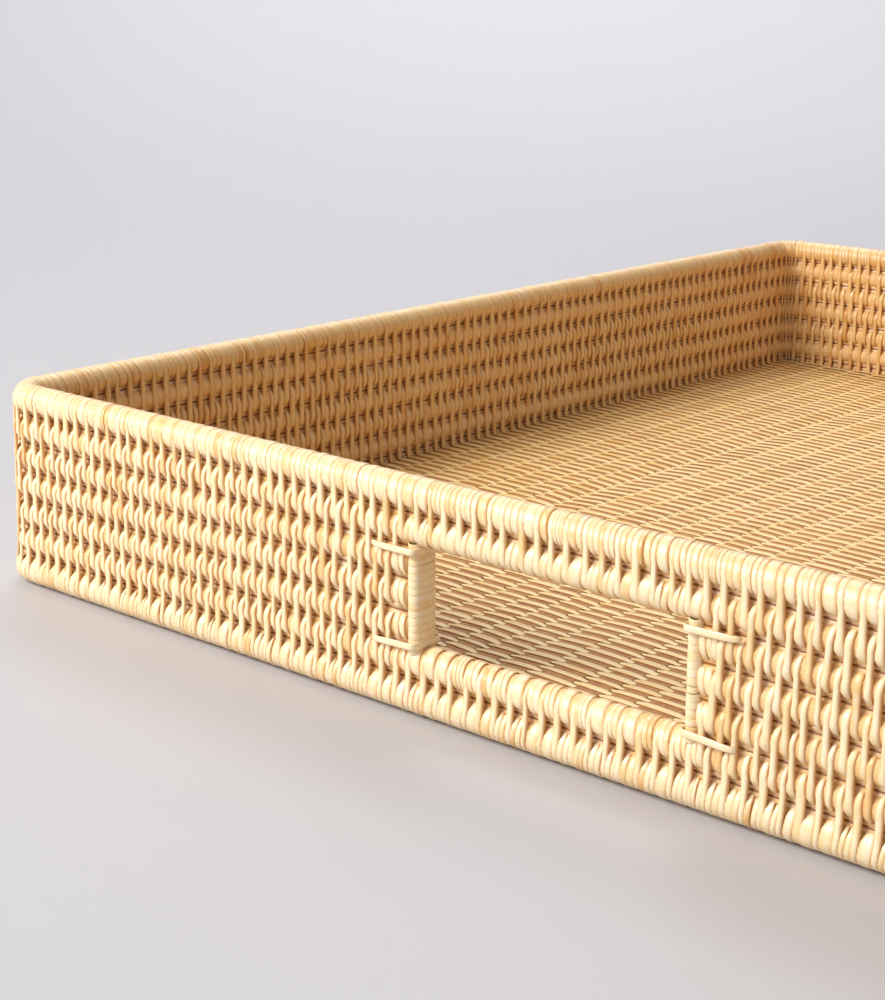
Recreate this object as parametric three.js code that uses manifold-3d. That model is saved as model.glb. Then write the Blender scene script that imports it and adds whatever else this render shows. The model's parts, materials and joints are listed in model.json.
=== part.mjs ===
// A square serving tray of rattan: seven stacked rods make each wall, sewn to each other
// with split strips, and more strips are woven across flat-oval slats to make the floor.
// Two facing walls have a hand slot framed by a pair of wrapped posts. Millimetres, +Z up,
// the origin on the surface that the tray stands on, under its middle. The slotted walls
// face -Y and +Y.
import * as THREE from "three";
import { mergeVertices } from "three/addons/utils/BufferGeometryUtils.js";
import Module from "manifold-3d";

// Driving dimensions of the walls.
const rowCount = 7;
const rowPitch = 10.2;
const rodRadius = 4.5;
const baseRodRadius = 5.2;
const lowestSeamHeight = 12;
const stripThickness = 0.6;
const clearance = 0.3;
const wallHalfSpan = 248;
const cornerRadius = 9.6;
const cornerSteps = 3;
const rodSides = 10;
const shellSteps = 6;

// Driving dimensions of the two hand slots.
const slotHalfLength = 48;
const postWidth = 4;
const postDepth = 9.6;
const postCoreInset = 1.1;
const firstCutRow = 3;
const lastCutRow = 5;
const tieHeight = 2.2;
const tieThickness = 0.8;
const tieReach = 13;

// Driving dimensions of the floor.
const slatGroups = 7;
const slatsPerGroup = 5;
const slatPitch = 13.7;
const floorBands = 8;
const slatHalfThickness = 1.0;
const slatNeck = 0.5;
const floorCentreHeight = 8.5;
const floorSkin = 0.6;
const seamWeb = 0.6;
const cornerEase = 2.3;

// Sizes that follow from them.
const shellInner = rodRadius + clearance;
const shellOuter = shellInner + stripThickness;
const baseInner = baseRodRadius + clearance;
const baseOuter = baseInner + stripThickness;
const rodEnd = slotHalfLength + postWidth + clearance;
const floorHalfSpan = wallHalfSpan - shellOuter - clearance - cornerEase;
const footHalfWidth = 2;

// Rows and seams are counted from the rim. The base rod is thicker and stands on its turns.
const seamHeight = (row) => lowestSeamHeight + (rowCount - 1 - row) * rowPitch;
const rowHeight = (row) => (row === rowCount ? baseOuter : seamHeight(row) + rowPitch / 2);

const material = (color, roughness) => new THREE.MeshStandardMaterial({ color, roughness, metalness: 0 });
const rodMaterial = material(0xdcb98c, 0.6);
const stripMaterial = material(0xf3e3bd, 0.45);
const slatMaterial = material(0xc99a5b, 0.6);
const floorStripMaterial = material(0xe6c98a, 0.5);
const postMaterial = material(0xf5e8c4, 0.5);

const tray = new THREE.Group();
const wasm = await Module();
wasm.setup();

function addPiece(name, geometry, pieceMaterial) {
  const mesh = new THREE.Mesh(geometry, pieceMaterial);
  mesh.name = name;
  tray.add(mesh);
}

// The middle line of the walls: stations with their outward direction, anticlockwise from
// above. Each corner is a quarter circle, and the straight sides need no stations between.
function cornerStations(quarter) {
  const middle = Math.PI / 4 + (quarter * Math.PI) / 2;
  const centre = wallHalfSpan - cornerRadius;
  const stations = [];
  for (let step = 0; step <= cornerSteps; step += 1) {
    const angle = (quarter + step / cornerSteps) * (Math.PI / 2);
    const outward = new THREE.Vector2(Math.cos(angle), Math.sin(angle));
    const place = new THREE.Vector2(Math.sign(Math.cos(middle)), Math.sign(Math.sin(middle)));
    place.multiplyScalar(centre).addScaledVector(outward, cornerRadius);
    stations.push({ place, outward });
  }
  return stations;
}

function loopPath() {
  return [0, 1, 2, 3].flatMap(cornerStations);
}

// One side of the tray, from a slot in the front wall round to the slot in the back wall.
function halfPath(side, end) {
  const front = { place: new THREE.Vector2(side * end, -wallHalfSpan), outward: new THREE.Vector2(0, -1) };
  const back = { place: new THREE.Vector2(side * end, wallHalfSpan), outward: new THREE.Vector2(0, 1) };
  if (side > 0) return [front, ...cornerStations(3), ...cornerStations(0), back];
  return [back, ...cornerStations(1), ...cornerStations(2), front];
}

// A straight stretch along the wall that faces +Y (facing 1) or -Y (facing -1).
function wallPath(facing, from, to) {
  const outward = new THREE.Vector2(0, facing);
  const ends = facing > 0 ? [to, from] : [from, to];
  return ends.map((x) => ({ place: new THREE.Vector2(x, facing * wallHalfSpan), outward }));
}

// Sweeps an outline, given anticlockwise as (outward, up) points, along a path of stations.
function sweep(outline, path, closed) {
  const positions = [];
  for (const { place, outward } of path) {
    for (const point of outline) {
      positions.push(place.x + outward.x * point.x, place.y + outward.y * point.x, point.y);
    }
  }
  const count = outline.length;
  const index = [];
  const spans = closed ? path.length : path.length - 1;
  for (let span = 0; span < spans; span += 1) {
    const here = span * count;
    const next = ((span + 1) % path.length) * count;
    for (let i = 0; i < count; i += 1) {
      const j = (i + 1) % count;
      index.push(here + i, next + i, next + j, here + i, next + j, here + j);
    }
  }
  if (!closed) {
    const last = (path.length - 1) * count;
    for (const [a, b, c] of THREE.ShapeUtils.triangulateShape(outline, [])) {
      index.push(a, b, c, last + a, last + c, last + b);
    }
  }
  const geometry = new THREE.BufferGeometry();
  geometry.setAttribute("position", new THREE.Float32BufferAttribute(positions, 3));
  geometry.setIndex(index);
  geometry.computeVertexNormals();
  return geometry;
}

// Points of an arc about (0, height), from one angle to another, in degrees.
function arc(radius, height, from, to, steps) {
  const points = [];
  for (let step = 0; step <= steps; step += 1) {
    const angle = THREE.MathUtils.degToRad(from + ((to - from) * step) / steps);
    points.push(new THREE.Vector2(radius * Math.cos(angle), height + radius * Math.sin(angle)));
  }
  return points;
}

function rodOutline(row) {
  const radius = row === rowCount ? baseRodRadius : rodRadius;
  return arc(radius, rowHeight(row), 0, 360 - 360 / rodSides, rodSides - 1);
}

// The strips of one seam: a face on each side of the wall, joined by a web between the rods.
function seamOutline(row) {
  const upper = rowHeight(row);
  const lower = rowHeight(row + 1);
  const lowerInner = row + 1 === rowCount ? baseInner : shellInner;
  const edge = 3;
  const face = (side) => [
    new THREE.Vector2(side * (lowerInner + stripThickness), lower + clearance),
    new THREE.Vector2(side * (shellOuter - 0.7), seamHeight(row)),
    new THREE.Vector2(side * shellOuter, upper - clearance),
  ];
  return [
    ...face(1),
    ...arc(shellInner, upper, -edge, -180 + edge, shellSteps),
    ...face(-1).reverse(),
    ...arc(lowerInner, lower, 180 - edge, edge, shellSteps),
  ];
}

// A half shell of strip turns round one rod, between two angles.
function shellOutline(row, from, to) {
  const height = rowHeight(row);
  const outer = arc(shellOuter, height, from, to, shellSteps);
  return [...outer, ...arc(shellInner, height, to, from, shellSteps)];
}

// The turns under the base rod end in a flat foot that the tray stands on.
function footOutline() {
  const height = rowHeight(rowCount);
  const footAngle = THREE.MathUtils.radToDeg(Math.asin(footHalfWidth / baseOuter));
  return [
    ...arc(baseOuter, height, 184, 270 - footAngle, 4),
    new THREE.Vector2(-footHalfWidth, 0),
    new THREE.Vector2(footHalfWidth, 0),
    ...arc(baseOuter, height, 270 + footAngle, 356, 4),
    ...arc(baseInner, height, 356, 184, shellSteps),
  ];
}

function addWallRods() {
  for (let row = 1; row <= rowCount; row += 1) {
    const outline = rodOutline(row);
    const cut = row >= firstCutRow && row <= lastCutRow;
    const name = row === 1 ? "rim_rod" : row === rowCount ? "base_rod" : `wall_rod_${row}`;
    if (cut) {
      addPiece(`${name}_right`, sweep(outline, halfPath(1, rodEnd), false), rodMaterial);
      addPiece(`${name}_left`, sweep(outline, halfPath(-1, rodEnd), false), rodMaterial);
    } else {
      addPiece(name, sweep(outline, loopPath(), true), rodMaterial);
    }
  }
}

function addSeams() {
  for (let row = 1; row < rowCount; row += 1) {
    const outline = seamOutline(row);
    const name = `seam_strips_${row}`;
    if (row >= firstCutRow - 1 && row <= lastCutRow) {
      addPiece(`${name}_right`, sweep(outline, halfPath(1, rodEnd), false), stripMaterial);
      addPiece(`${name}_left`, sweep(outline, halfPath(-1, rodEnd), false), stripMaterial);
    } else {
      addPiece(name, sweep(outline, loopPath(), true), stripMaterial);
    }
  }
}

function addEdgeWraps() {
  addPiece("rim_wrap", sweep(shellOutline(1, 4, 176), loopPath(), true), stripMaterial);
  addPiece("base_wrap", sweep(footOutline(), loopPath(), true), stripMaterial);
}

// A flat outline in X and Y, raised from one height to another.
function raise(points, from, to) {
  const shape = new THREE.Shape(points);
  const geometry = new THREE.ExtrudeGeometry(shape, { depth: to - from, bevelEnabled: false });
  return geometry.translate(0, 0, from);
}

// A tie: a flat strip folded round the slot side of a post, with a leg on each wall face.
function tieGeometry(side, facing, bottom) {
  const nearX = slotHalfLength - clearance - tieThickness;
  const farX = rodEnd + tieReach;
  const inner = shellOuter + clearance;
  const outer = inner + tieThickness;
  const wall = facing * wallHalfSpan;
  const outline = [
    [nearX, -outer],
    [farX, -outer],
    [farX, -inner],
    [nearX + tieThickness, -inner],
    [nearX + tieThickness, inner],
    [farX, inner],
    [farX, outer],
    [nearX, outer],
  ];
  return raise(outline.map(([x, y]) => new THREE.Vector2(side * x, wall + y)), bottom, bottom + tieHeight);
}

// The frame of one hand slot: turns on the rods above and below, two posts, four ties.
function addSlot(facing, label) {
  const reach = slotHalfLength - 2 * clearance - tieThickness;
  const path = wallPath(facing, -reach, reach);
  const above = shellOutline(firstCutRow - 1, 184, 356);
  const below = shellOutline(lastCutRow + 1, 4, 176);
  addPiece(`slot_wrap_upper_${label}`, sweep(above, path, false), stripMaterial);
  addPiece(`slot_wrap_lower_${label}`, sweep(below, path, false), stripMaterial);

  const bottom = rowHeight(lastCutRow + 1) + shellOuter;
  const top = rowHeight(firstCutRow - 1) - shellOuter;
  for (const side of [-1, 1]) {
    const end = side > 0 ? "right" : "left";
    const nearX = slotHalfLength * side;
    const farX = (slotHalfLength + postWidth) * side;
    const outline = [Math.min(nearX, farX), Math.max(nearX, farX)];
    addPost(`${label}_${end}`, outline, facing * wallHalfSpan, bottom, top);
    const upperTie = rowHeight(firstCutRow - 1) - rodRadius - clearance - tieHeight;
    const lowerTie = rowHeight(lastCutRow + 1) + rodRadius + clearance;
    addPiece(`tie_upper_${label}_${end}`, tieGeometry(side, facing, upperTie), postMaterial);
    addPiece(`tie_lower_${label}_${end}`, tieGeometry(side, facing, lowerTie), postMaterial);
  }
}

// A post: a flat core, and the strip turns round it as a sleeve that is open at both ends.
function addPost(label, [left, right], wall, bottom, top) {
  const half = postDepth / 2;
  const ring = (inset) => [
    new THREE.Vector2(left + inset, wall - half + inset),
    new THREE.Vector2(right - inset, wall - half + inset),
    new THREE.Vector2(right - inset, wall + half - inset),
    new THREE.Vector2(left + inset, wall + half - inset),
  ];
  const sleeve = new THREE.Shape(ring(0));
  sleeve.holes.push(new THREE.Path(ring(postCoreInset - clearance)));
  const height = top - bottom;
  const wrap = new THREE.ExtrudeGeometry(sleeve, { depth: height, bevelEnabled: false });
  addPiece(`post_wrap_${label}`, wrap.translate(0, 0, bottom), postMaterial);
  addPiece(`post_core_${label}`, raise(ring(postCoreInset), bottom, top), rodMaterial);
}

// Extrudes an outline given in X and Z along the whole floor in Y.
function alongFloor(points) {
  const shape = new THREE.Shape(points);
  const geometry = new THREE.ExtrudeGeometry(shape, { depth: 2 * floorHalfSpan, bevelEnabled: false });
  return geometry.rotateX(Math.PI / 2).translate(0, floorHalfSpan, floorCentreHeight);
}

// One edge of a slat group, as a row of shallow humps that meet at narrow necks.
function humps(middle, half, up) {
  const points = [];
  const stepsPerSlat = 6;
  const total = slatsPerGroup * stepsPerSlat;
  for (let step = 0; step <= total; step += 1) {
    const t = step / total;
    const wave = Math.abs(Math.sin(t * slatsPerGroup * Math.PI));
    const rise = slatNeck + (slatHalfThickness - slatNeck) * Math.sqrt(wave);
    points.push(new THREE.Vector2(middle - half + 2 * half * t, up * rise));
  }
  return points;
}

function toSolid(geometry) {
  const bare = geometry.clone().deleteAttribute("normal").deleteAttribute("uv");
  const merged = mergeVertices(bare);
  const vertProperties = merged.attributes.position.array;
  return new wasm.Manifold(new wasm.Mesh({ numProp: 3, vertProperties, triVerts: merged.index.array }));
}

function toGeometry(solid) {
  const { vertProperties, triVerts } = solid.getMesh();
  const geometry = new THREE.BufferGeometry();
  geometry.setAttribute("position", new THREE.BufferAttribute(vertProperties, 3));
  geometry.setIndex(new THREE.BufferAttribute(triVerts, 1));
  geometry.computeVertexNormals();
  return geometry;
}

// A band of the floor's weave: a flat sleeve with a passage for each group of slats.
function bandGeometry(middles, passageHalf, halfWidth, depth) {
  const passageHeight = 2 * (slatHalfThickness + clearance);
  let band = toSolid(new THREE.BoxGeometry(2 * halfWidth, depth, passageHeight + 2 * floorSkin));
  for (const middle of middles) {
    const passage = new THREE.BoxGeometry(2 * passageHalf, depth + 2, passageHeight);
    band = band.subtract(toSolid(passage.translate(middle, 0, 0)));
  }
  return toGeometry(band);
}

// The slats run from front to back, joined edge to edge in groups. The strips woven across
// them are bands that run from side to side, and the slat groups pass through each band.
function addFloor() {
  const groupWidth = slatPitch * slatsPerGroup;
  const groupHalf = groupWidth / 2 - seamWeb / 2 - clearance;
  const first = (-groupWidth * (slatGroups - 1)) / 2;
  const middles = [];
  for (let group = 0; group < slatGroups; group += 1) {
    middles.push(first + group * groupWidth);
  }
  middles.forEach((middle, group) => {
    const outline = [...humps(middle, groupHalf, -1), ...humps(middle, groupHalf, 1).reverse()];
    addPiece(`floor_slats_${group + 1}`, alongFloor(outline), slatMaterial);
  });

  const floorHalfWidth = (slatGroups * groupWidth) / 2 + seamWeb / 2;
  const bandDepth = (2 * floorHalfSpan) / floorBands;
  for (let band = 0; band < floorBands; band += 1) {
    const depth = bandDepth - clearance;
    const weave = bandGeometry(middles, groupHalf + clearance, floorHalfWidth, depth);
    const place = (band + 0.5) * bandDepth - floorHalfSpan;
    addPiece(`floor_weave_${band + 1}`, weave.translate(0, place, floorCentreHeight), floorStripMaterial);
  }
}

addWallRods();
addSeams();
addEdgeWraps();
addSlot(-1, "front");
addSlot(1, "back");
addFloor();

export default tray;
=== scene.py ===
import json
import math

import bpy
import numpy as np
from mathutils import Matrix, Vector

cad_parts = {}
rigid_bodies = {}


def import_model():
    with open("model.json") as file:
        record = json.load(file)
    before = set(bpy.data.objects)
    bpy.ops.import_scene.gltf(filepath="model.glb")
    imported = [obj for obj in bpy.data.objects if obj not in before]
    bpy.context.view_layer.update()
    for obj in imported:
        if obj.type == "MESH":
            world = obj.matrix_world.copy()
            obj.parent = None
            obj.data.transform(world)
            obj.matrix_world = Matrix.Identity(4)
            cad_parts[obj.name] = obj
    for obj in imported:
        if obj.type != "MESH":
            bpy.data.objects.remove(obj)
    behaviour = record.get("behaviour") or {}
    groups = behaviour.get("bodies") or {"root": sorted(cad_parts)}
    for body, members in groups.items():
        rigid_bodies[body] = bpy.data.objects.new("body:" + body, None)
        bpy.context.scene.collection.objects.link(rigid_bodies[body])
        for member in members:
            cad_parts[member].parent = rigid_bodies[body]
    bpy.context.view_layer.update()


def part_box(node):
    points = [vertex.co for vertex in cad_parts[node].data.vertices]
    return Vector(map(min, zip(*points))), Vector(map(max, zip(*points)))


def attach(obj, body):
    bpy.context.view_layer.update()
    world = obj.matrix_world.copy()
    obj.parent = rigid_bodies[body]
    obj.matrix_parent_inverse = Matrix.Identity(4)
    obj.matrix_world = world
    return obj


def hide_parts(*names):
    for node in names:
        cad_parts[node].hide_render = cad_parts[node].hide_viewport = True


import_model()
print("frame loaded")


class Wire:
    # one socket of a material, with arithmetic that adds Math nodes
    def __init__(self, shader, socket):
        self.shader = shader
        self.socket = socket

    def maths(self, operation, other, swap=False):
        first, second = (other, self) if swap else (self, other)
        return self.shader.node("ShaderNodeMath", {"operation": operation}, {0: first, 1: second})

    def __add__(self, other):
        return self.maths("ADD", other)

    def __sub__(self, other):
        return self.maths("SUBTRACT", other)

    def __mul__(self, other):
        return self.maths("MULTIPLY", other)

    def __radd__(self, other):
        return self.maths("ADD", other, swap=True)

    def __rsub__(self, other):
        return self.maths("SUBTRACT", other, swap=True)

    def __rmul__(self, other):
        return self.maths("MULTIPLY", other, swap=True)

    def between(self, low, high):
        # 0 below low, 1 above high
        return self.shader.node("ShaderNodeMapRange", {"interpolation_type": "SMOOTHSTEP"},
                                {"Value": self, "From Min": low, "From Max": high})


class Shader:
    def __init__(self, name):
        self.material = bpy.data.materials.new(name)
        self.material.use_nodes = True
        self.tree = self.material.node_tree
        self.tree.nodes.clear()
        self.surface = self.tree.nodes.new("ShaderNodeBsdfPrincipled")
        output = self.tree.nodes.new("ShaderNodeOutputMaterial")
        self.tree.links.new(self.surface.outputs[0], output.inputs["Surface"])

    def node(self, kind, settings=None, values=None, out=0):
        made = self.tree.nodes.new(kind)
        for key, value in (settings or {}).items():
            if key == "stops":
                self.setStops(made.color_ramp, value)
            else:
                setattr(made, key, value)
        for key, value in (values or {}).items():
            self.feed(made.inputs[key], value)
        return Wire(self, made.outputs[out])

    def setStops(self, ramp, stops):
        while len(ramp.elements) < len(stops):
            ramp.elements.new(0.5)
        for element, (place, colour) in zip(ramp.elements, stops):
            element.position = place
            element.color = (*colour, 1)

    def feed(self, socket, value):
        if isinstance(value, Wire):
            self.tree.links.new(value.socket, socket)
        else:
            socket.default_value = value

    def set(self, **values):
        for key, value in values.items():
            self.feed(self.surface.inputs[key.replace("_", " ")], value)

    def parts(self, attribute):
        vector = self.node("ShaderNodeAttribute", {"attribute_name": attribute}, out=1)
        split = self.node("ShaderNodeSeparateXYZ", values={0: vector}).socket.node
        return [Wire(self, output) for output in split.outputs]

    def mix(self, factor, first, second, blend="MIX"):
        first, second = (c if isinstance(c, Wire) else (*c, 1) for c in (first, second))
        return self.node("ShaderNodeMix", {"data_type": "RGBA", "blend_type": blend},
                         {0: factor, 6: first, 7: second}, out=2)


# Sizes, taken from the frame
rods = {
    "radius": 0.00475,
    "baseRadius": 0.0053,
    "rimInset": 0.0045,      # from the outside of the rim rod to its middle line
    "cornerRadius": 0.0096,
    "cornerLean": 0.03,      # how much the corners draw in from the base up to the rim
    "leanLevel": 0.03,       # the height at which they aren't drawn in
    "sides": 16,
    "stations": 240,         # along a whole loop, and half of them along a cut rod
    "waviness": 0.00015,
    "waves": ((9, 23), (7, 19)),    # per loop, sideways and up and down
    "secondWave": 0.6,
}
seeds = {"rods": 10, "seams": 100, "wraps": 200, "posts": 300, "upperTies": 320, "lowerTies": 340,
         "floor": 400}

rodNames = {1: "rim_rod", 2: "wall_rod_2", 3: "wall_rod_3_left", 4: "wall_rod_4_left",
            5: "wall_rod_5_left", 6: "wall_rod_6", 7: "base_rod"}
rowHeight = {}
for row, name in rodNames.items():
    low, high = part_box(name)
    rowHeight[row] = (low.z + high.z) / 2
rowPitch = (rowHeight[1] - rowHeight[6]) / 5
gapHeight = {row: rowHeight[row] - rowPitch / 2 for row in range(1, 7)}
rodRadius = {row: rods["baseRadius"] if row == 7 else rods["radius"] for row in range(1, 8)}
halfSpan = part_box("rim_rod")[1].x - rods["rimInset"]
straightHalf = halfSpan - rods["cornerRadius"]
turnRadius = rods["cornerRadius"] + rods["radius"]      # lengths run along the outer face
cornerLength = turnRadius * math.pi / 2
sideLength = 2 * straightHalf + cornerLength
loopLength = 4 * sideLength
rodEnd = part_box("wall_rod_3_right")[0].x                # where the cut rods stop, beside the posts
slotCentres = (0.0, 2 * sideLength)
upDirection = np.array([0.0, 0.0, 1.0])


def wallPlace(q, r, z):
    # q runs anticlockwise along the walls from the middle of the front one, r is outward
    q = np.asarray(q, float)
    side = np.floor((q + straightHalf) / sideLength)
    local = q + straightHalf - side * sideLength
    angle = np.clip(local - 2 * straightHalf, 0, None) / turnRadius
    along = np.minimum(local, 2 * straightHalf) - straightHalf
    turned = np.sin(2 * angle) ** 2
    reach = rods["cornerRadius"] + r - rods["cornerLean"] * turned * (z - rods["leanLevel"])
    x = along + reach * np.sin(angle)
    y = -straightHalf - reach * np.cos(angle)
    turn = side * math.pi / 2
    return np.stack([x * np.cos(turn) - y * np.sin(turn), x * np.sin(turn) + y * np.cos(turn),
                     z + 0 * x], -1)


def wallBasis(q, r, z):
    # place, outward direction, and the way along the wall for one unit of q
    step = 1e-5
    place = wallPlace(q, r, z)
    outward = (wallPlace(q, r + step, z) - place) / step
    along = (wallPlace(q + step, r, z) - wallPlace(q - step, r, z)) / (2 * step)
    return place, outward, along


# A ring is a list of (side, height) points; each strip is a ring swept along its path.
stripRing = np.array([(-1, -0.4), (-0.88, 0.55), (-0.5, 0.92), (0.0, 1.0), (0.5, 0.92),
                      (0.88, 0.55), (1, -0.4), (0, -0.6)][::-1], float)
flatRing = np.array([(math.cos(a), math.sin(a)) for a in np.arange(8) * math.pi / 4], float)
grooveRing = np.array([(0.5, 1.0), (0.44, 0.4), (0.41, 0.15), (0.41, -0.15), (0.44, -0.4), (0.5, -1.0),
                       (-0.5, -1.0), (-0.44, -0.4), (-0.41, -0.15), (-0.41, 0.15), (-0.44, 0.4),
                       (-0.5, 1.0)], float)
roundRing = np.array([(math.cos(a), math.sin(a))
                      for a in np.arange(rods["sides"]) * 2 * math.pi / rods["sides"]], float)


# each strip has a random tone from 0 up to skin, and the pieces in the gaps have their own: a darker
# orange tone for the filler, as painted crevice shade, and a dark brown for the thin piece in its middle,
# as a painted shadow
strandTones = {"skin": 0.975, "groove": 0.965, "gapShadow": 1.0}
tipLength = 0.002       # how far from a strip's ends it is painted darker, as shade where it tucks in
toMillimetres = 1000    # the fibre attribute is in millimetres


class Bundle:
    # gathers swept strips and turns them into one piece
    def __init__(self):
        self.points = []
        self.fibres = []
        self.shadeMasks = []
        self.corners = []
        self.faceSizes = []
        self.count = 0

    def add(self, centres, sides, normals, ring, strands, closed=False, warmth=0.0):
        number, stations = centres.shape[:2]
        size = len(ring)
        points = (centres[:, :, None] + ring[:, 0, None] * sides[:, :, None]
                  + ring[:, 1, None] * normals[:, :, None])
        steps = np.linalg.norm(np.diff(centres, axis=1), axis=2)
        along = np.concatenate([np.zeros((number, 1)), np.cumsum(steps, 1)], 1)
        width = np.linalg.norm(sides, axis=2)
        fibre = np.empty((number, stations, size, 3))
        fibre[..., 0] = ring[:, 0] * width[:, :, None] * toMillimetres
        fibre[..., 1] = along[:, :, None] * toMillimetres
        fibre[..., 2] = np.asarray(strands)[:, None, None]
        length = np.maximum(along[:, -1:], 1e-9)
        tip = np.clip(1 - np.minimum(along, length - along) / tipLength, 0, 1)
        # painted shade masks: darker towards the sides of a strip, where it meets its neighbours; darker
        # towards its tips, where it tucks into the gaps; and its share on the inner face, painted darker
        # and more orange
        edge = np.zeros((number, stations, size, 3))
        edge[..., 0] = np.abs(ring[:, 0]) ** 3
        edge[..., 1] = 0 if closed else tip[:, :, None]
        edge[..., 2] = np.broadcast_to(warmth, stations)[:, None]
        way = np.einsum("ij,ij->i", centres[:, 1] - centres[:, 0],
                        np.cross(sides[:, 0], normals[:, 0]))
        following = np.roll(ring, -1, 0)
        spin = np.sum(following[:, 1] * ring[:, 0] - following[:, 0] * ring[:, 1])
        forward = np.mean(way) * spin > 0
        index = np.arange(number * stations * size).reshape(number, stations, size) + self.count
        nextRing = np.roll(index, -1, 2)
        if closed:
            here, there = index, np.roll(index, -1, 1)
            nextHere, nextThere = nextRing, np.roll(nextRing, -1, 1)
        else:
            here, there = index[:, :-1], index[:, 1:]
            nextHere, nextThere = nextRing[:, :-1], nextRing[:, 1:]
        quads = np.stack([here, nextHere, nextThere, there], -1).reshape(-1, 4)
        if not forward:
            quads = quads[:, ::-1]
        self.corners.append(quads.ravel())
        self.faceSizes.append(np.full(len(quads), 4))
        if not closed:
            first, last = index[:, 0], index[:, -1]
            caps = np.concatenate([first[:, ::-1], last] if forward else [first, last[:, ::-1]])
            self.corners.append(caps.ravel())
            self.faceSizes.append(np.full(len(caps), size))
        self.points.append(points.reshape(-1, 3))
        self.fibres.append(fibre.reshape(-1, 3))
        self.shadeMasks.append(edge.reshape(-1, 3))
        self.count += number * stations * size

    def make(self, name, material, nodes):
        points = np.concatenate(self.points)
        corners = np.concatenate(self.corners)
        sizes = np.concatenate(self.faceSizes)
        mesh = bpy.data.meshes.new(name)
        mesh.vertices.add(len(points))
        mesh.vertices.foreach_set("co", points.astype(np.float32).ravel())
        mesh.loops.add(len(corners))
        mesh.loops.foreach_set("vertex_index", corners.astype(np.int32))
        mesh.polygons.add(len(sizes))
        starts = np.concatenate([[0], np.cumsum(sizes)[:-1]])
        mesh.polygons.foreach_set("loop_start", starts.astype(np.int32))
        mesh.polygons.foreach_set("use_smooth", np.ones(len(sizes), bool))
        mesh.update(calc_edges=True)
        for label, values in (("fibre", self.fibres), ("edge", self.shadeMasks)):
            attribute = mesh.attributes.new(label, "FLOAT_VECTOR", "POINT")
            attribute.data.foreach_set("vector", np.concatenate(values).astype(np.float32).ravel())
        mesh.materials.append(material)
        piece = bpy.data.objects.new(name, mesh)
        bpy.context.scene.collection.objects.link(piece)
        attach(piece, "root")
        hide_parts(*nodes)


def triangles(piece):
    return sum(len(p.vertices) - 2 for p in piece.data.polygons)


def rattanStrip(name, look):
    # split rattan: a glossy skin with fine fibres along the strip and a tone for each strip, with painted
    # shade darkening the sides where strips meet, the tips and the inner faces, and a painted shadow
    # colour for the thin dark pieces in the gaps
    shader = Shader(name)
    across, along, strand = shader.parts("fibre")
    side, tip, warmth = shader.parts("edge")

    def streaks(acrossScale, alongScale, detail):
        place = shader.node("ShaderNodeCombineXYZ", values={
            0: across * acrossScale, 1: along * alongScale, 2: strand * 91.7})
        return shader.node("ShaderNodeTexNoise", {"noise_dimensions": "3D"},
                           {"Vector": place, "Scale": 1.0, "Detail": detail, "Roughness": 0.6})

    fine = streaks(6.0, 0.3, 3.0)
    broad = streaks(0.5, 0.12, 2.0)
    blotch = streaks(0.8, 0.3, 2.0)
    tone = shader.node("ShaderNodeValToRGB", {"stops": look["tones"]}, {0: strand})
    lightened = shader.mix(broad.between(0.4, 0.7) * look["drift"], tone, look["pale"])
    streaked = shader.mix(fine.between(0.5, 0.75) * look["streaks"], lightened, look["fibre"])
    stained = shader.mix(blotch.between(0.6, 0.75) * look["stain"], streaked, look["stainAndTipShade"])
    # painted shade: each strip darker towards its sides, where it meets its neighbours
    edgeShaded = shader.mix(side * look["edge"], stained, look["shade"])
    # painted shade: darker and more orange towards the tips, where the strip tucks into the gaps, in the
    # same colour as the real stains
    tipShaded = shader.mix(tip * look["ends"], edgeShaded, look["stainAndTipShade"])
    # painted shade: strips on the inner faces multiplied darker and more orange
    innerShaded = shader.mix(warmth, tipShaded, look["inner"], "MULTIPLY")
    spots = shader.node("ShaderNodeTexVoronoi", {"feature": "F1"}, {
        "Vector": shader.node("ShaderNodeCombineXYZ", values={
            0: across * 0.5, 1: along * 0.12, 2: strand * 53.0}), "Scale": 1.0})
    marks = (1.0 - spots.between(0.02, 0.09)) * look["specks"]
    marked = shader.mix(marks, innerShaded, look["dark"])
    # painted shadow: the thin pieces along the middle of the gaps between rods are dark brown
    colour = shader.mix(strand.between(0.98, 0.99), marked, look["gapShadow"])     # only the gap fillers
    bump = shader.node("ShaderNodeBump", values={
        "Height": fine * 0.6 + broad * 0.8, "Strength": look["grain"], "Distance": 0.00015})
    shader.set(Base_Color=colour, Roughness=look["gloss"] + fine * 0.15,
               Normal=bump, Specular_IOR_Level=0.5, Coat_Weight=look["coat"], Coat_Roughness=0.25)
    return shader.material


# Painted shade in these looks: strip sides darker where neighbours meet, tips darker where they tuck into
# the gaps, inner faces darker and more orange, and dark brown for the thin pieces that stand for the
# shadow in the gaps
wallLook = {
    "tones": [(0.0, (0.90, 0.61, 0.28)), (0.12, (0.94, 0.715, 0.40)), (0.5, (0.96, 0.78, 0.485)),
              (0.82, (0.94, 0.725, 0.41)), (0.93, (0.86, 0.58, 0.25)), (1.0, (0.76, 0.42, 0.14))],
    "pale": (0.98, 0.82, 0.64), "drift": 0.6, "fibre": (0.84, 0.54, 0.20), "streaks": 0.3,
    "stainAndTipShade": (0.86, 0.50, 0.14), "stain": 0.35, "shade": (0.72, 0.34, 0.07),
    "dark": (0.24, 0.10, 0.03), "specks": 0.5, "gapShadow": (0.30, 0.105, 0.02), "inner": (0.85, 0.70, 0.47),
    "edge": 0.75, "ends": 0.45, "grain": 0.4, "gloss": 0.34, "coat": 0.4,
}
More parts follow.
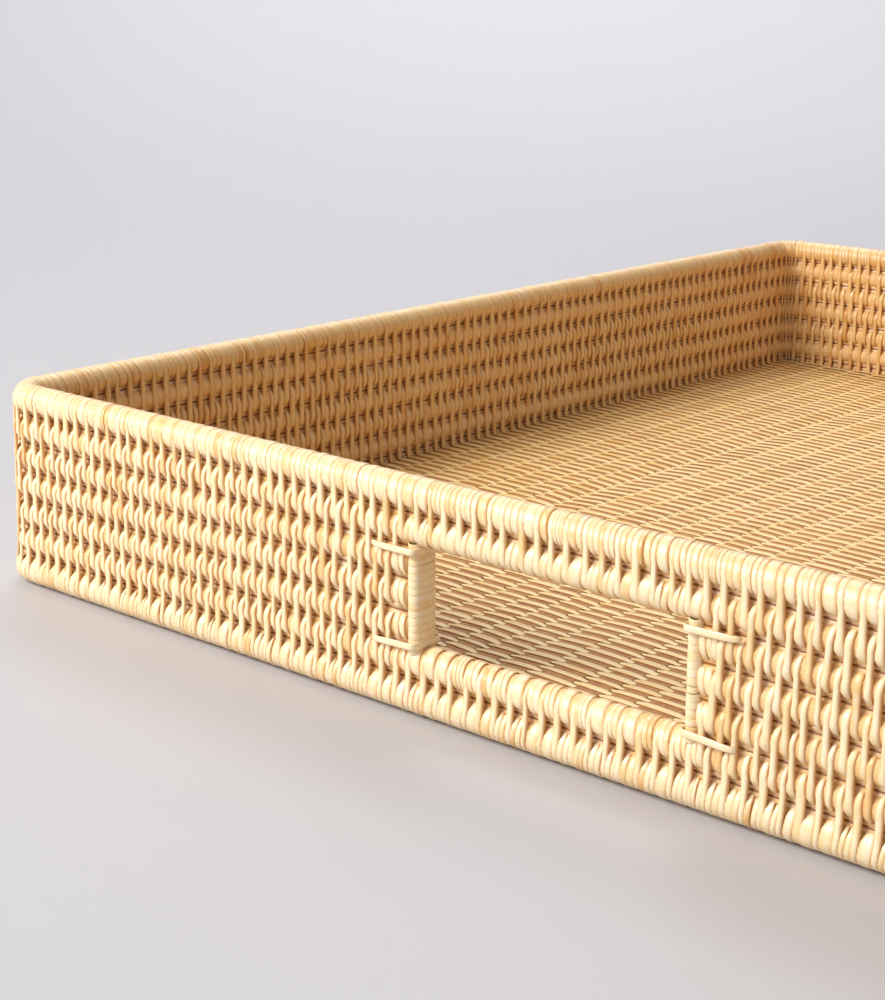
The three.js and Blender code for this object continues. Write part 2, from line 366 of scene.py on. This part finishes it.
postLook = {**wallLook, "tones": [(0.0, (0.90, 0.69, 0.34)), (0.5, (0.94, 0.76, 0.46)),
                                  (0.8, (0.92, 0.70, 0.38)), (1.0, (0.84, 0.58, 0.24))],
            "stain": 0.15, "specks": 0.1, "edge": 0.2, "ends": 0.0}
floorLook = {**wallLook, "tones": [(0.0, (0.80, 0.51, 0.15)), (0.25, (0.88, 0.62, 0.23)),
                                   (0.7, (0.90, 0.67, 0.29)), (1.0, (0.84, 0.55, 0.18))],
             "pale": (0.92, 0.74, 0.42), "drift": 0.5, "edge": 0.6, "ends": 0.0}
rodLook = {**wallLook, "tones": [(0.0, (0.79, 0.46, 0.17)), (1.0, (0.83, 0.52, 0.22))],
           "pale": (0.89, 0.60, 0.30), "fibre": (0.68, 0.36, 0.12), "streaks": 0.3,
           "gloss": 0.55, "coat": 0.0, "edge": 0.0, "ends": 0.0}
slatLook = {**rodLook, "tones": [(0.0, (0.34, 0.13, 0.03)), (1.0, (0.46, 0.20, 0.05))],
            "pale": (0.50, 0.25, 0.08)}
wallStrip = rattanStrip("wallStrip", wallLook)
postStrip = rattanStrip("postStrip", postLook)
floorStrip = rattanStrip("floorStrip", floorLook)
coreRod = rattanStrip("coreRod", rodLook)
floorSlat = rattanStrip("floorSlat", slatLook)
print("materials made")


def runAlong(start, end):
    # stations along the wall, and whether they go right round it
    closed = end - start >= loopLength - 1e-9
    count = rods["stations"] if closed else rods["stations"] // 2 + 1
    return np.linspace(start, end, count, endpoint=not closed), closed


def unevenness(turn, waves, phases):
    second = rods["secondWave"] * np.sin(waves[1] * turn + phases[1])
    return rods["waviness"] * (np.sin(waves[0] * turn + phases[0]) + second)


def rodTube(bundle, row, start, end, seed):
    q, closed = runAlong(start, end)
    draw = np.random.default_rng(seed)
    phase = draw.uniform(0, 6.28, 4)
    turn = 2 * math.pi * q / loopLength
    ripple = unevenness(turn, rods["waves"][0], phase[:2])
    lift = unevenness(turn, rods["waves"][1], phase[2:])
    place, outward, _ = wallBasis(q, ripple, rowHeight[row] + lift)
    up = np.broadcast_to(upDirection, outward.shape)
    radius = rodRadius[row]
    bundle.add(place[None], outward[None] * radius, up[None] * radius, roundRing, [draw.random()], closed)


for row, name in rodNames.items():
    if row in (3, 4, 5):
        for side, start in (("right", rodEnd), ("left", 2 * sideLength + rodEnd)):
            bundle = Bundle()
            end = start + 2 * sideLength - 2 * rodEnd
            rodTube(bundle, row, start, end, seeds["rods"] * row + (side == "left"))
            bundle.make(f"wallRod{row}{side.title()}", coreRod, [f"wall_rod_{row}_{side}"])
    else:
        bundle = Bundle()
        rodTube(bundle, row, 0, loopLength, seeds["rods"] * row)
        bundle.make(f"wallRod{row}", coreRod, [name])
print("wall rods made")

# The sewing of the walls
stitches = {
    "pitch": 0.00566,       # along the wall, from one strip of a seam to the next
    "jitter": 0.00035,
    "height": 0.0006,       # how far a strip stands off its rod
    "dip": 0.0003,          # how far it sinks between two rods
    "tip": 80,              # degrees over a rod before it tucks in
    "dive": 20,             # degrees over a rod where it leaves for the gap
    "steps": 6,             # stations over each rod
    "groove": 0.0030,       # half the depth of wall that is left between the grooves, along which a thin dark piece paints the shadow
    "lean": 0.0005,
    "uneven": 0.08,         # spread of the widths, from strip to strip and along one
    "unevenHeight": 0.12,
    "wide": 0.45,           # the share that is pulled flat and wide over the lower rod
    "turns": (0.45, 0.5, 0.05),     # how often one, two or three short turns fit between stitches
}
stitchCount = round(loopLength / stitches["pitch"])
stitchStep = loopLength / stitchCount


def overRod(row, start, end, steps, lift=0.0):
    # rows of (outward, up, normal outward, normal up) round one rod, by angle from its outer crown
    angle = np.radians(np.linspace(start, end, steps))
    cosine, sine = np.cos(angle), np.sin(angle)
    radius = rodRadius[row] + lift
    return np.stack([radius * cosine, rowHeight[row] + radius * sine, cosine, sine], 1)


def acrossGap(row):
    return np.array([[rods["radius"] - stitches["dip"], gapHeight[row], 1.0, 0.0]])


def flipped(path):
    return path * np.array([-1, 1, -1, 1])


def seamPath(row, upperEnd=None, lowerEnd=None):
    upper = overRod(row, upperEnd or stitches["tip"], -stitches["dive"], stitches["steps"])
    lower = overRod(row + 1, stitches["dive"], -(lowerEnd or stitches["tip"]), stitches["steps"])
    return np.concatenate([upper, acrossGap(row), lower])


def addStrips(bundle, path, q, halfWidth, height, lean, draw, warmth=0.0):
    # one strip at each q, all on the same path, with widths, heights and leans by station
    number, stations = len(q), len(path)
    wobble = draw.normal(0, 1, (number, 1))
    uneven = np.stack([np.interp(np.linspace(0, 1, stations), [0, 0.3, 0.7, 1], line)
                       for line in draw.normal(0, stitches["uneven"], (number, 4))])
    widthScale = np.clip(1 + stitches["uneven"] * draw.normal(0, 1, (number, 1)) + uneven, 0.7, 1.35)
    heightScale = np.clip(1 + stitches["unevenHeight"] * draw.normal(0, 1, (number, 1)), 0.7, 1.3)
    place = q[:, None] + lean[None] + wobble * stitches["lean"] * 0.5 * np.linspace(-1, 1, stations)
    r, z, nr, nz = (np.broadcast_to(path[:, i], (number, stations)) for i in range(4))
    centre, outward, along = wallBasis(place, r, z)
    normal = outward * nr[..., None] + upDirection * nz[..., None]
    sides = along * (halfWidth[None] * widthScale)[..., None]
    normals = normal * (height[None] * heightScale)[..., None]
    strands = draw.uniform(0, strandTones["skin"], number)
    bundle.add(centre, sides, normals, stripRing, strands, warmth=warmth)


def profile(stations, places, values):
    return np.interp(np.linspace(0, 1, stations), places, values)


# a stitch from its upper tip, at 0, to its lower one; the widths are in half pitches of the rods
seamShape = {
    "places": [0, 0.1, 0.2, 0.32, 0.5, 0.62, 0.76, 0.9, 1],
    "heights": [0.2, 0.75, 0.95, 1.05, 1.1, 1, 0.8, 0.55, 0.2],
    "upperWidths": [0.08, 0.17, 0.22, 0.22, 0.21, 0.23],
    "wideFoot": 0.31, "narrowFoot": 0.26, "footTaper": 0.85, "tipWidth": 0.12,
    "footFlatness": 0.3,
    "innerWidths": [0.1, 0.2, 0.26, 0.26, 0.23, 0.25, 0.28, 0.22, 0.1],
    "leanPlaces": [0, 0.2, 0.5, 0.8, 1], "leans": [0.06, 0.02, 0, -0.02, 0.03],
}


def sewSeam(bundle, row, q, draw):
    # the open seams: a strip over two rods on the outer face, and another on the inner face
    path = seamPath(row)
    count = len(path)
    places = seamShape["places"]
    high = stitches["height"] * profile(count, places, seamShape["heights"])
    lean = rowPitch * profile(count, seamShape["leanPlaces"], seamShape["leans"])
    wide = draw.random(len(q)) < stitches["wide"]
    for foot, chosen in ((seamShape["wideFoot"], wide), (seamShape["narrowFoot"], ~wide)):
        widths = seamShape["upperWidths"] + [foot, foot * seamShape["footTaper"], seamShape["tipWidth"]]
        half = rowPitch / 2 * profile(count, places, widths)
        flat = high * profile(count, [0, 0.5, 0.8, 1], [1, 1, seamShape["footFlatness"] / foot, 1])
        addStrips(bundle, path, q[chosen], half, flat, lean, draw)
    half = rowPitch / 2 * profile(count, places, seamShape["innerWidths"])
    # the inner face strips carry the painted inner shade
    addStrips(bundle, flipped(path), q, half, high, -lean, draw, warmth=1.0)


# an edge strip from the end of it on one face, over the edge rod, to its end on the other
edgeShape = {
    "places": [0, 0.06, 0.12, 0.2, 0.28, 0.36, 0.5, 0.64, 0.72, 0.8, 0.88, 0.94, 1],
    "heights": [0.25, 0.7, 0.9, 1.0, 1.1, 0.9, 0.65, 0.9, 1.1, 1.0, 0.9, 0.7, 0.25],
    "middleWidths": [0.25, 0.21, 0.24, 0.27, 0.24, 0.21, 0.25],
    "lobes": {"rim": 0.33, "base": 0.20}, "lobeTaper": 0.8, "tips": {"rim": 0.10, "base": 0.03},
    "drift": -0.3,      # in pitches, how far it moves along between its two faces
}
edgeDrift = edgeShape["drift"] * rowPitch


def sewEdge(bundle, row, q, draw, edge):
    # the rim and base seams: one strip goes right over the edge rod, from face to face
    if edge == "rim":
        outer = seamPath(row, upperEnd=90)
    else:
        outer = seamPath(row, lowerEnd=90)
    inner = flipped(outer)
    path = np.concatenate([inner[::-1], outer[1:]] if edge == "rim" else [inner, outer[::-1][1:]])
    count = len(path)
    lobe, tip = edgeShape["lobes"][edge], edgeShape["tips"][edge]
    side = [tip, lobe * edgeShape["lobeTaper"], lobe]
    widths = side + edgeShape["middleWidths"] + side[::-1]
    half = rowPitch / 2 * profile(count, edgeShape["places"], widths)
    high = stitches["height"] * profile(count, edgeShape["places"], edgeShape["heights"])
    drift = edgeDrift * profile(count, [0, 0.32, 0.5, 0.68, 1], [1, 1, 0.5, 0, 0])
    # the last argument runs from 1 on the inner face to 0 on the outer and paints the inner part darker
    # as shade
    addStrips(bundle, path, q, half, high, drift, draw, drift / edgeDrift)


# a short turn round one rod
turnShape = {
    "reach": (256, -76),    # degrees, from the inner face over the rod to the outer one
    "steps": 15,
    "lift": 0.0002,         # keeps it clear of the rod
    "height": 0.55,         # as a share of a stitch's height
}


def wrapTurns(bundle, row, q, halfWidths, draw, openSide):
    # short turns round one rod; openSide is 1 where the next rod is below it, -1 where it is above
    start, end = (openSide * angle for angle in turnShape["reach"])
    path = overRod(row, start, end, turnShape["steps"], turnShape["lift"])
    count = len(path)
    shape = profile(count, [0, 0.1, 0.25, 0.5, 0.75, 0.9, 1], [0.3, 0.8, 1, 1, 1, 0.8, 0.3])
    swell = profile(count, [0, 0.12, 0.3, 0.7, 0.88, 1], [0.3, 0.9, 1, 1, 0.9, 0.3])
    high = turnShape["height"] * stitches["height"] * swell
    drift = edgeDrift * profile(count, [0, 0.2, 0.5, 0.8, 1], [1, 1, 0.5, 0, 0])
    for width in np.unique(halfWidths):
        chosen = halfWidths == width
        # the last argument runs from 1 on the inner face to 0 on the outer and paints the inner part
        # darker as shade
        addStrips(bundle, path, q[chosen], shape * width, high, drift, draw, drift / edgeDrift)


# what closes the gap between two rods, with a thin dark piece along it that paints its shadow; each reach
# is in groove depths
gapFill = {"reach": 2.2, "height": 0.0017, "shadowLineReach": 1.08, "shadowLineHeight": 0.0009}


def fillGaps(bundle, row, start, end):
    # the strips pass between the rods here; a filler in a darker orange tone closes the gap as painted
    # crevice shade, but for a thin dark brown piece along its middle, a painted shadow
    q, closed = runAlong(start, end)
    below = rowHeight[row + 1] + rodRadius[row + 1]
    above = rowHeight[row] - rodRadius[row]
    place, outward, _ = wallBasis(q, 0 * q, (above + below) / 2)
    up = np.broadcast_to(upDirection, outward.shape)
    # the filler, whose darker orange tone is painted crevice shade
    bundle.add(place[None], outward[None] * gapFill["reach"] * stitches["groove"],
               up[None] * gapFill["height"], grooveRing, [strandTones["groove"]], closed)
    # the thin dark brown piece along the middle of the gap, a painted shadow
    bundle.add(place[None], outward[None] * gapFill["shadowLineReach"] * stitches["groove"],
               up[None] * gapFill["shadowLineHeight"], flatRing, [strandTones["gapShadow"]], closed)


def seamPlaces(row, draw):
    q = (np.arange(stitchCount) + 0.5 * (row % 2)) * stitchStep
    return q + draw.normal(0, stitches["jitter"], stitchCount)


def fromSlot(q):
    # distance along the wall from the nearest slot's middle, and which slot that is
    front = np.abs((q + loopLength / 2) % loopLength - loopLength / 2)
    back = np.abs(q % loopLength - slotCentres[1])
    return np.minimum(front, back), front < back


# how the short turns fit into the space between two stitches, as shares of that space
fillerTurns = {"margin": 0.16, "room": 0.68, "overlap": 0.045, "widthStep": 0.00008}


def fillers(q, draw):
    # short turns, one to three of them, close each space between neighbouring stitches
    order = np.sort(q % loopLength)
    space = np.diff(np.append(order, order[0] + loopLength))
    number = draw.choice([1, 2, 3], len(order), p=stitches["turns"])
    places, widths = [], []
    for turns in (1, 2, 3):
        start, room = order[number == turns], space[number == turns]
        share = np.cumsum(draw.uniform(0.8, 1.2, (len(start), turns)), axis=1)
        share /= share[:, -1:]
        for turn in range(turns):
            before = share[:, turn - 1] if turn else 0 * start
            middle = fillerTurns["margin"] + fillerTurns["room"] * (before + share[:, turn]) / 2
            half = fillerTurns["room"] * (share[:, turn] - before) / 2 + fillerTurns["overlap"]
            places.append(start + room * middle)
            widths.append(room * half)
    # a few standard widths, so that turns of one width are made together
    widths = np.round(np.concatenate(widths) / fillerTurns["widthStep"]) * fillerTurns["widthStep"]
    return np.concatenate(places) % loopLength, widths


# beside a post: where the seams stop, and the two smooth turns that finish each cut rod
rodEnds = {"upperSeamGap": 0.0044, "lowerSeamGap": 0.0016, "turnPlaces": (0.0012, 0.0034),
           "turnHalfWidth": 0.00122}

edgePlaces = {}
for row in range(1, 7):
    draw = np.random.default_rng(seeds["seams"] + row)
    q = seamPlaces(row, draw)
    if row in (1, 6):
        bundle = Bundle()
        sewEdge(bundle, row, q, draw, "rim" if row == 1 else "base")
        fillGaps(bundle, row, 0, loopLength)
        edgePlaces[row] = q
        bundle.make(f"seamStrips{row}", wallStrip, [f"seam_strips_{row}"])
        continue
    seamGap = rodEnds["upperSeamGap"] if row in (3, 4) else rodEnds["lowerSeamGap"]
    q = q[fromSlot(q)[0] > rodEnd + seamGap] % loopLength
    for side, chosen in (("right", q < slotCentres[1]), ("left", q >= slotCentres[1])):
        bundle = Bundle()
        sewSeam(bundle, row, q[chosen], draw)
        start = rodEnd + (0 if side == "right" else 2 * sideLength)
        end = start + 2 * sideLength - 2 * rodEnd
        fillGaps(bundle, row, start, end)
        if row > 2:
            first, second = rodEnds["turnPlaces"]
            ends = np.array([start + first, start + second, end - first, end - second])
            wrapTurns(bundle, row, ends, np.full(4, rodEnds["turnHalfWidth"]), draw, 1)
        bundle.make(f"seamStrips{row}{side.title()}", wallStrip,
                    [f"seam_strips_{row}_{side}"])
print("seams sewn")

for row, name, node, openSide in ((1, "rimWrap", "rim_wrap", 1), (7, "baseWrap", "base_wrap", -1)):
    draw = np.random.default_rng(seeds["wraps"] + row)
    places, widths = fillers(edgePlaces[1 if row == 1 else 6], draw)
    bundle = Bundle()
    wrapTurns(bundle, row, places, widths, draw, openSide)
    bundle.make(name, wallStrip, [node])

slotWrapOverlap = 0.001     # how far the slot wraps reach past the ends of the cut rods
for row, name, node, openSide in ((2, "slotWrapUpper", "slot_wrap_upper", -1),
                                  (6, "slotWrapLower", "slot_wrap_lower", 1)):
    draw = np.random.default_rng(seeds["wraps"] + row)
    places, widths = fillers(edgePlaces[1 if row == 2 else 6], draw)
    distance, front = fromSlot(places)
    for label, chosen in (("Front", front), ("Back", ~front)):
        chosen = chosen & (distance < rodEnd + slotWrapOverlap)
        bundle = Bundle()
        wrapTurns(bundle, row, places[chosen], widths[chosen], draw, openSide)
        bundle.make(name + label, wallStrip, [f"{node}_{label.lower()}"])
print("edges wrapped")

# The posts at the hand slots, and their ties
posts = {
    "turnWidth": 0.0023,
    "thickness": 0.00012,
    "corner": 0.0020,
    "cornerSteps": 4,
    "grow": 0.0020,         # the turns reach a little way over the rods above and below
    "overlap": 0.97,
    "halfTurn": 0.54,       # half the width of a turn, as a share of their spacing
    "slope": 0.25,          # how much a turn climbs, as a share of their spacing
    "uneven": 0.06,
}
ties = {
    "height": 0.0011,       # half the width of the strip
    "thickness": 0.00032,
    "fold": 0.0002,         # how far it stands off the slot side of the post
    "corner": 0.0016,
    "legSteps": 12,
    "cornerSteps": 4,
    "droop": 0.0006,
    "unevenDroop": 0.0002,
    "sink": 0.0010,         # how far its ends go into the weave
    "tones": (0.4, 0.7),
}


def roundedRing(halfX, halfY, corner, steps):
    # points and outward directions round a rectangle with rounded corners
    places, normals = [], []
    for quarter in range(4):
        middle = math.pi / 4 + quarter * math.pi / 2
        centre = np.array([math.copysign(halfX - corner, math.cos(middle)),
                           math.copysign(halfY - corner, math.sin(middle))])
        for step in range(steps + 1):
            angle = (quarter + step / steps) * math.pi / 2
            direction = np.array([math.cos(angle), math.sin(angle)])
            places.append(centre + direction * corner)
            normals.append(direction)
    return np.array(places), np.array(normals)


def wrapPost(node, seed):
    low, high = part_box(node)
    draw = np.random.default_rng(seed)
    middle = (low + high) / 2
    halfX, halfY = (high.x - low.x) / 2, (high.y - low.y) / 2
    bottom, top = low.z - posts["grow"], high.z + posts["grow"]
    count = round((top - bottom) / (posts["turnWidth"] * posts["overlap"]))
    step = (top - bottom) / count
    ring, normals = roundedRing(halfX - posts["thickness"], halfY - posts["thickness"],
                                posts["corner"], posts["cornerSteps"])
    stations = len(ring)
    bundle = Bundle()
    for turn in range(count):
        height = bottom + (turn + 0.5) * step
        slope = step * posts["slope"] * np.sin(np.linspace(0, 2 * math.pi, stations, endpoint=False))
        swell = 1 + posts["uneven"] * draw.normal()
        centre = np.stack([middle.x + ring[:, 0] * swell ** 0.3, middle.y + ring[:, 1],
                           height + slope + 0 * ring[:, 0]], 1)
        normal = np.stack([normals[:, 0], normals[:, 1], 0 * ring[:, 0]], 1) * posts["thickness"]
        side = np.broadcast_to(upDirection, centre.shape) * step * posts["halfTurn"] * swell
        bundle.add(centre[None], side[None], normal[None], stripRing, [draw.random()], closed=True)
    bundle.make("postWrap" + node[9:].title().replace("_", ""), postStrip,
                [node, node.replace("wrap", "core")])


def foldTie(node, seed):
    # a flat strip: out along the outer face, round the slot side of the post, back along the inner
    low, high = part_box(node)
    draw = np.random.default_rng(seed)
    middle = (low + high) / 2
    onRight = middle.x > 0
    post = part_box(node.replace("tie_upper", "post_wrap").replace("tie_lower", "post_wrap"))
    near = post[0].x - ties["fold"] if onRight else post[1].x + ties["fold"]
    far = high.x if onRight else low.x
    way = 1 if onRight else -1
    halfDepth = (high.y - low.y) / 2 - ties["thickness"]
    corner, legSteps = ties["corner"], ties["legSteps"]
    leg = np.linspace(far, near + way * corner, legSteps)
    bend = np.radians(np.linspace(0, 90, ties["cornerSteps"] + 1))[1:]
    legX = np.concatenate([leg, near + way * corner * (1 - np.sin(bend))])
    legY = np.concatenate([np.full(legSteps, -halfDepth), -halfDepth + corner * (1 - np.cos(bend))])
    normalX = np.concatenate([np.zeros(legSteps), -way * np.sin(bend)])
    normalY = np.concatenate([np.full(legSteps, -1.0), -np.cos(bend)])
    x = np.concatenate([legX, legX[::-1]])
    y = np.concatenate([legY, -legY[::-1]])
    nx = np.concatenate([normalX, normalX[::-1]])
    ny = np.concatenate([normalY, -normalY[::-1]])
    # 0 at the post, 1 at the ends, where it narrows and sinks in
    fade = np.clip(np.abs(x - near) / abs(far - near), 0, 1)
    droop = ties["droop"] * (1 if "lower" in node else -0.3)
    droop = (draw.normal(0, ties["unevenDroop"]) + droop) * fade ** 1.5
    sink = ties["sink"] * np.clip((fade - 0.75) / 0.25, 0, 1) ** 2
    centre = np.stack([x, middle.y + y - ny * sink, middle.z - droop + 0 * x], 1)
    half = ties["height"] * (1 - 0.25 * fade ** 6)
    side = np.broadcast_to(upDirection, centre.shape) * half[:, None]
    normal = np.stack([nx, ny, 0 * nx], 1) * ties["thickness"]
    bundle = Bundle()
    bundle.add(centre[None], side[None], normal[None], stripRing, [draw.uniform(*ties["tones"])])
    bundle.make("tie" + node[4:].title().replace("_", ""), postStrip, [node])


for number, (label, end) in enumerate((a, b) for a in ("front", "back") for b in ("left", "right")):
    wrapPost(f"post_wrap_{label}_{end}", seeds["posts"] + number)
    foldTie(f"tie_upper_{label}_{end}", seeds["upperTies"] + number)
    foldTie(f"tie_lower_{label}_{end}", seeds["lowerTies"] + number)
print("hand slots framed")

# The woven floor
floor = {
    "slatCount": 35,
    "slatsPerPiece": 5,
    "slatThickness": 0.0002,
    "slatHalfWidth": 0.47,   # as a share of its room
    "slatStations": 25,
    "inset": 0.0092,         # from the outside of the rim rod to the ends of the floor
    "bands": 8,              # the weavers are in this many pieces
    "weaverPitch": 0.00283,
    "weaverHalfWidth": 0.00138,
    "weaverHalfThickness": 0.0002,
    "stepsPerSlat": 6,
    "unevenness": 0.2,       # how much the slats differ in width
    "slant": 0.0006,         # how far the weavers zigzag in each slat
    "turnBack": -0.35,       # how much each slant undoes the one before
    "wander": 0.0001,        # how far one weaver strays on its own
    "flatness": 0.3,         # below 1, a weaver stays longer at the top and bottom of its wave
    "spread": 0.25,          # how much wider it is on top of a slat
}
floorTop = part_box("floor_weave_1")[1].z
amplitude = floor["slatThickness"] / 2 + floor["weaverHalfThickness"] * 0.95
floorHeight = floorTop - amplitude - floor["weaverHalfThickness"]
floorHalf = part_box("rim_rod")[1].x - floor["inset"]
draw = np.random.default_rng(seeds["floor"])
slatWidths = 1 + floor["unevenness"] * draw.uniform(-1, 1, floor["slatCount"])
slatWidths *= 2 * floorHalf / slatWidths.sum()
slatEdges = np.concatenate([[0], np.cumsum(slatWidths)]) - floorHalf
slatCentres = (slatEdges[:-1] + slatEdges[1:]) / 2
slatGroup = np.arange(floor["slatCount"]) // floor["slatsPerPiece"]


def makeSlats(group):
    bundle = Bundle()
    y = np.linspace(-floorHalf, floorHalf, floor["slatStations"])
    for slat in np.nonzero(slatGroup == group)[0]:
        centre = np.stack([slatCentres[slat] + 0 * y, y, floorHeight + 0 * y], 1)
        side = np.broadcast_to([1.0, 0, 0], centre.shape) * slatWidths[slat] * floor["slatHalfWidth"]
        normal = np.broadcast_to(upDirection, centre.shape) * floor["slatThickness"] / 2
        bundle.add(centre[None], side[None], normal[None], flatRing, [draw.random()])
    bundle.make(f"floorSlats{group + 1}", floorSlat, [f"floor_slats_{group + 1}"])


for group in range(slatGroup[-1] + 1):
    makeSlats(group)

weaverCount = round(2 * floorHalf / floor["weaverPitch"])
weaverPlaces = (np.arange(weaverCount) + 0.5) * 2 * floorHalf / weaverCount - floorHalf
steps = np.linspace(0, 1, floor["stepsPerSlat"], endpoint=False)
weaverX = np.append((slatEdges[:-1, None] + steps * slatWidths[:, None]).ravel(), slatEdges[-1])
slatPhase = np.append((np.arange(floor["slatCount"])[:, None] + steps).ravel(), floor["slatCount"])
zigzag = np.zeros(floor["slatCount"] + 1)
for slat in range(1, floor["slatCount"]):
    zigzag[slat] = floor["turnBack"] * zigzag[slat - 1] + floor["slant"] * draw.normal()
weaverShift = np.interp(slatPhase, np.arange(len(zigzag)), zigzag)


def makeWeave(band):
    chosen = np.arange(weaverCount) * floor["bands"] // weaverCount == band
    rows = np.nonzero(chosen)[0]
    number, stations = len(rows), len(weaverX)
    wave = np.sin(math.pi * slatPhase)
    flatter = np.sign(wave) * np.abs(wave) ** floor["flatness"]
    height = amplitude * flatter * np.where(rows % 2 == 0, 1, -1)[:, None]
    wobble = draw.normal(0, floor["wander"], (number, len(slatEdges)))
    drift = np.stack([np.interp(slatPhase, np.arange(len(slatEdges)), line) for line in wobble])
    centre = np.stack([np.broadcast_to(weaverX, (number, stations)),
                       weaverPlaces[rows][:, None] + weaverShift + drift,
                       floorHeight + height], -1)
    width = floor["weaverHalfWidth"] * np.clip(1 + 0.1 * draw.normal(0, 1, (number, 1, 1)), 0.8, 1.2)
    side = np.zeros_like(centre) + [0, 1.0, 0]
    slope = np.gradient(height, axis=1) / np.gradient(weaverX)
    normal = np.stack([-slope, 0 * slope, 1 + 0 * slope], -1)
    normal /= np.linalg.norm(normal, axis=2, keepdims=True)
    bundle = Bundle()
    over = np.clip(height / amplitude, 0, 1)[..., None]
    bundle.add(centre, side * width * (0.9 + floor["spread"] * over),
               normal * floor["weaverHalfThickness"], flatRing, draw.random(number))
    bundle.make(f"floorWeave{band + 1}", floorStrip, [f"floor_weave_{band + 1}"])


for band in range(floor["bands"]):
    makeWeave(band)
print("floor woven")

# Table, lights and camera
studio = {
    "tableColour": (0.475, 0.468, 0.487), "tableRoughness": 0.45,
    "reach": 60.0,          # how far the table runs in front and to the sides
    "sweepStart": 1.6, "sweepRadius": 1.2, "sweepSteps": 12, "backTop": 5.0,
    "worldColour": (0.96, 0.97, 1.0),
    "worldStrength": 0.48,
    "keyPlace": (-0.7, -1.25, 0.95), "keyTarget": (0, 0, 0.03), "keySize": 0.9, "keyPower": 29.5,
    "keyColour": (1.0, 0.98, 0.95),
    "backPlace": (-1.3, 1.4, 2.6), "backTarget": (-2.0, 2.2, 1.0), "backSize": 2.0, "backPower": 76,
}


def plainMaterial(name, colour, roughness):
    shader = Shader(name)
    cloud = shader.node("ShaderNodeTexNoise", values={"Scale": 3.0, "Detail": 2.0})
    tint = shader.mix(cloud * 0.06, colour, tuple(0.9 * c for c in colour))
    shader.set(Base_Color=tint, Roughness=roughness)
    return shader.material


def makeStage():
    # a table that rises behind the tray in one smooth curve
    start, radius, steps = (studio[k] for k in ("sweepStart", "sweepRadius", "sweepSteps"))
    profilePoints = [(-studio["reach"], 0.0), (start, 0.0)]
    for step in range(1, steps + 1):
        angle = step / steps * math.pi / 2
        profilePoints.append((start + radius * math.sin(angle), radius - radius * math.cos(angle)))
    profilePoints.append((start + radius, studio["backTop"]))
    turn = math.radians(view["azimuth"])
    forward = Vector((-math.sin(turn), math.cos(turn), 0))
    sideways = Vector((math.cos(turn), math.sin(turn), 0))
    vertices, faces = [], []
    for y, z in profilePoints:
        for x in (-studio["reach"], studio["reach"]):
            vertices.append(forward * y + sideways * x + Vector((0, 0, z)))
    for i in range(len(profilePoints) - 1):
        faces.append((2 * i, 2 * i + 1, 2 * i + 3, 2 * i + 2))
    mesh = bpy.data.meshes.new("studioSweep")
    mesh.from_pydata(vertices, [], faces)
    mesh.polygons.foreach_set("use_smooth", [True] * len(faces))
    mesh.materials.append(plainMaterial("studioPaper", studio["tableColour"], studio["tableRoughness"]))
    sweep = bpy.data.objects.new("studioSweep", mesh)
    bpy.context.scene.collection.objects.link(sweep)


def areaLight(name, place, target, size, power, colour=(1, 1, 1)):
    data = bpy.data.lights.new(name, "AREA")
    data.size = size
    data.energy = power
    data.color = colour
    lamp = bpy.data.objects.new(name, data)
    lamp.location = place
    lamp.rotation_euler = (Vector(target) - Vector(place)).to_track_quat("-Z", "Y").to_euler()
    bpy.context.scene.collection.objects.link(lamp)


view = {
    "azimuth": 42.43, "elevation": 15.34, "roll": 0.15, "lens": 72.05,
    "place": (0.3328, -0.6579, 0.22035),
}


def makeCamera():
    turn, tilt, roll = (math.radians(view[k]) for k in ("azimuth", "elevation", "roll"))
    forward = Vector((-math.sin(turn) * math.cos(tilt), math.cos(turn) * math.cos(tilt), -math.sin(tilt)))
    right = Vector((math.cos(turn), math.sin(turn), 0))
    up = right.cross(forward)
    rolledRight = math.cos(roll) * right + math.sin(roll) * up
    rolledUp = -math.sin(roll) * right + math.cos(roll) * up
    data = bpy.data.cameras.new("mainCamera")
    data.lens = view["lens"]
    data.sensor_width = 36
    data.clip_start = 0.01
    camera = bpy.data.objects.new("mainCamera", data)
    turnMatrix = Matrix((rolledRight, rolledUp, -forward)).transposed().to_4x4()
    camera.matrix_world = Matrix.Translation(view["place"]) @ turnMatrix
    bpy.context.scene.collection.objects.link(camera)
    bpy.context.scene.camera = camera


makeStage()
areaLight("keyLight", studio["keyPlace"], studio["keyTarget"], studio["keySize"], studio["keyPower"],
          studio["keyColour"])
areaLight("backdropLight", studio["backPlace"], studio["backTarget"], studio["backSize"],
          studio["backPower"])
world = bpy.data.worlds.new("studioWorld")
world.use_nodes = True
world.node_tree.nodes["Background"].inputs[0].default_value = (*studio["worldColour"], 1)
world.node_tree.nodes["Background"].inputs[1].default_value = studio["worldStrength"]
bpy.context.scene.world = world
bpy.context.scene.view_settings.view_transform = "Standard"
makeCamera()
print("stage, lights and camera made")

total = sum(triangles(o) for o in bpy.data.objects if o.type == "MESH" and not o.hide_render)
print("visible triangles", total)
